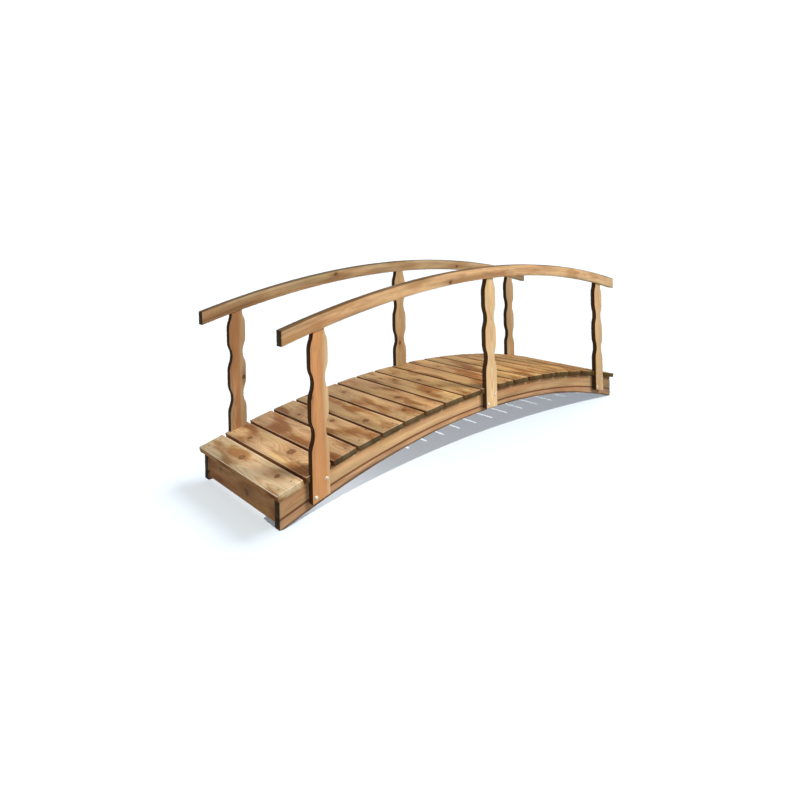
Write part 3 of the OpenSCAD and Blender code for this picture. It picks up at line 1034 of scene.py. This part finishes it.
def make_posts(material):
    """The six posts. Each look is a tone, a hue and a share of heartwood."""
    tree = wavy_post_tree()
    looks = {
        "near": {"left": (1.0, 0.15, 0.8), "mid": (1.13, 0.0, 0.1), "right": (0.94, 0.05, 0.15)},
        # The far posts' lower tones are painted shade on the far side
        "far": {"left": (0.61, 0.2, 0.9), "mid": (0.77, -0.1, 0.15), "right": (0.74, 0.05, 0.40)},
    }
    for side, sign in SIDES.items():
        for end, step in ENDS.items():
            x = step * POST_X
            inner, outer = sign * HALF_WIDTH, sign * (HALF_WIDTH + POST_THICKNESS)
            post = grow(
                f"{side}_{end}_wavy_post", tree, material, ease=POST_EASE, middle=x,
                first_side=min(inner, outer), second_side=max(inner, outer), width=POST_WIDTH,
                waist_width=WAIST_WIDTH, waist_length=WAIST_LENGTH, waist_pitch=WAIST_PITCH,
                waists=WAISTS, foot_radius=foot_arch.radius, foot_centre=foot_arch.centre_z,
                head_radius=rail_arch.radius, head_centre=rail_arch.centre_z, segments=161)
            tone, hue, heart = looks[side][end]
            mark_timber(post, lie_upright(x, (inner + outer) / 2), next(seeds), tone, hue, heart)
            stand_for(post, f"{side}_{end}_post")


END_BOARD_KNOTS = ((-0.07, -0.010, 0.017), (0.22, 0.020, 0.010))


def make_end_boards(material):
    for end in ("left", "right"):
        node = f"{end}_end_board"
        low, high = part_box(node)
        board = copy_solid(f"{end}_closing_board", node, material, BOARD_EASE)
        lie = lie_crosswise((low.x + high.x) / 2, END_BOARD_MIDDLE)
        mark_timber(board, lie, next(seeds), 0.88, -0.05, placed_knots=END_BOARD_KNOTS)
        stand_for(board, node)


def make_bolts(material):
    tree = coach_bolts_tree()
    for side, sign in SIDES.items():
        for end, step in ENDS.items():
            places = []
            for level in (-1, 1):
                x = step * POST_X - sign * level * BOLT_OFFSET
                z = top_arch.z(x) - BOLT_EDGE if level > 0 else seam_arch.z(x) + BOLT_ABOVE_SEAM
                places.append((x, sign * (HALF_WIDTH + POST_THICKNESS), z))
            bolts = grow(
                f"{side}_{end}_coach_bolts", tree, material, smooth=False, first=places[0],
                second=places[1], side=sign, grip=POST_THICKNESS + TIMBER, head=BOLT_HEAD,
                head_height=BOLT_HEAD_HEIGHT, shank=BOLT_SHANK, washer=WASHER,
                washer_thickness=WASHER_THICKNESS, nut_flats=NUT_FLATS, nut_height=NUT_HEIGHT,
                tail=BOLT_TAIL)
            bolts.data.shade_smooth()
            bolts.data.set_sharp_from_angle(angle=math.radians(35))
            stand_for(bolts, f"{side}_{end}_bolts")


def make_screws(material):
    screws = grow(
        "deck_screws", deck_screws_tree(), material, smooth=False, boards=BOARDS, step=board_step,
        surface_radius=top_arch.radius + BOARD_THICKNESS - SCREW_SINK, arch_centre=top_arch.centre_z,
        row=HALF_WIDTH - TIMBER / 2, spread=BOARD_WIDTH / 4, drift=(SCREW_DRIFT, SCREW_DRIFT, 0),
        head=SCREW_HEAD, socket=SCREW_SOCKET, seed=7)
    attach(screws, "root")


# The floor, the lamps and the camera

def make_floor():
    """A pale floor that keeps the shadow. What it throws back on the bridge is kept low."""
    bpy.ops.mesh.primitive_plane_add(size=FLOOR_SIZE, location=(0, 0, -FLOOR_DROP))
    floor = bpy.context.object
    floor.name = "floor"
    material = bpy.data.materials.new("pale_floor")
    material.use_nodes = True
    material.node_tree.nodes.clear()
    w = Wiring(material.node_tree)
    thrown_back, shown = (0.30, 0.29, 0.28, 1), (0.628, 0.628, 0.628, 1)
    colour = mix(w, seen_directly(w), thrown_back, shown)
    diffuse = w.node("ShaderNodeBsdfDiffuse", {"Color": colour})
    w.node("ShaderNodeOutputMaterial", {"Surface": diffuse.outputs[0]})
    floor.data.materials.append(material)
    return floor


def seen_directly(w):
    """1 where the camera, a reflection or a view through glass meets the surface."""
    path = w.node("ShaderNodeLightPath").outputs
    through = w.maths("MAXIMUM", path["Is Glossy Ray"], path["Is Transmission Ray"])
    return w.maths("MAXIMUM", path["Is Camera Ray"], through)


def make_world(strength, seen_strength):
    """A white studio, seen bright enough to hide the floor's far edge."""
    world = bpy.data.worlds.new("studio")
    world.use_nodes = True
    world.node_tree.nodes.clear()
    w = Wiring(world.node_tree)
    seen = seen_directly(w)
    colour = mix(w, seen, (0.93, 0.96, 1.0, 1), (1, 1, 1, 1))
    level = w.plus(strength, w.times(seen, seen_strength - strength))
    background = w.node("ShaderNodeBackground", {"Color": colour, "Strength": level})
    w.node("ShaderNodeOutputWorld", {"Surface": background.outputs[0]})
    bpy.context.scene.world = world


def sun(name, azimuth, elevation, irradiance, spread, colour=(1, 1, 1)):
    """A lamp from an azimuth, where 0 is the near side and 90 the right end."""
    lamp = bpy.data.lights.new(name, "SUN")
    lamp.energy = irradiance
    lamp.angle = math.radians(spread)
    lamp.color = colour
    thing = link(bpy.data.objects.new(name, lamp))
    turn, rise = math.radians(azimuth), math.radians(elevation)
    flat = math.cos(rise)
    towards = Vector((math.sin(turn) * flat, -math.cos(turn) * flat, math.sin(rise)))
    thing.rotation_euler = towards.to_track_quat("Z", "Y").to_euler()
    return thing


def collection_of(name, things):
    group = bpy.data.collections.new(name)
    for thing in things:
        group.objects.link(thing)
    return group


def small_lamp(name, place, power, size, colour):
    lamp = bpy.data.lights.new(name, "POINT")
    lamp.energy = power
    lamp.shadow_soft_size = size
    lamp.color = colour
    thing = link(bpy.data.objects.new(name, lamp))
    thing.location = place
    return thing


def light_floor(key, floor):
    """The key lamp lights the bridge alone, and three lamps light the floor alone.

    The crisp one comes from the near side and draws the shade under the arch, with a light bar for
    each gap in the deck. The soft one comes from the right and draws the long shade at the left.
    The small one lifts the shade under the left half.
    """
    things = [thing for thing in bpy.context.scene.objects if thing.type == "MESH" and thing != floor]
    key.light_linking.receiver_collection = collection_of("bridge", things)
    lit = collection_of("floor", [floor])
    left_end = ("deck_board_01", "deck_board_02", "left_closing_board")
    arch_parts = ("deck_board", "near_stringer", "right_closing")
    soft_casters = [thing for thing in things if thing.name in left_end]
    crisp_casters = [
        thing for thing in things
        if thing.name.startswith(arch_parts) and thing.name not in left_end]
    cool, cooler = (0.92, 1.0, 1.04), (0.86, 1.0, 1.15)
    crisp = sun("crisp_floor_lamp", -3, 50, 3.60, 0.3, cool)
    soft = sun("soft_floor_lamp", 86, 38, 2.62, 36, cooler)
    fill = small_lamp("fill_under_left_half", (-1.1, -0.25, 0.45), 4.2, 0.1, cool)
    for lamp, casters in ((crisp, crisp_casters), (soft, soft_casters), (fill, soft_casters)):
        lamp.light_linking.receiver_collection = lit
        lamp.light_linking.blocker_collection = collection_of(lamp.name + " casters", casters)


def make_camera():
    """The photograph's view: nearly level, from the near left, with the frame shifted down."""
    camera = bpy.data.cameras.new("camera")
    focal_pixels, centre_row, image_side = 598.8, 220.2, 800
    camera.sensor_width = 36
    camera.lens = focal_pixels / image_side * camera.sensor_width
    camera.shift_y = -(image_side / 2 - centre_row) / image_side
    camera.clip_end = 500
    thing = link(bpy.data.objects.new("camera", camera))
    place = Vector((-2.8784, -2.8160, 1.4113))
    yaw, pitch, roll = 0.73249, 0.00088, -0.0195
    flat = math.cos(pitch)
    ahead = Vector((math.sin(yaw) * flat, math.cos(yaw) * flat, -math.sin(pitch)))
    level = Vector((math.cos(yaw), -math.sin(yaw), 0))
    up = level.cross(ahead)
    right = math.cos(roll) * level + math.sin(roll) * up
    upright = -math.sin(roll) * level + math.cos(roll) * up
    turned = Matrix((right, upright, -ahead)).transposed().to_4x4()
    thing.matrix_world = Matrix.Translation(place) @ turned
    bpy.context.scene.camera = thing


make_camera()
make_world(strength=0.42, seen_strength=1.12)
make_deck(tread_pine())
make_stringers(stringer_pine(), lower_layer_pine())
make_handrails(rail_pine())
make_posts(post_pine())
make_end_boards(end_board_pine())
make_bolts(zinc("bright_zinc", (238, 222, 194), 0.22))
make_screws(zinc("dull_zinc", (150, 142, 126), 0.38))
floor = make_floor()
light_floor(sun("key_lamp", 35, 42, 2.9, 22, (1.0, 0.985, 0.96)), floor)
bpy.context.scene.view_settings.view_transform = "Standard"
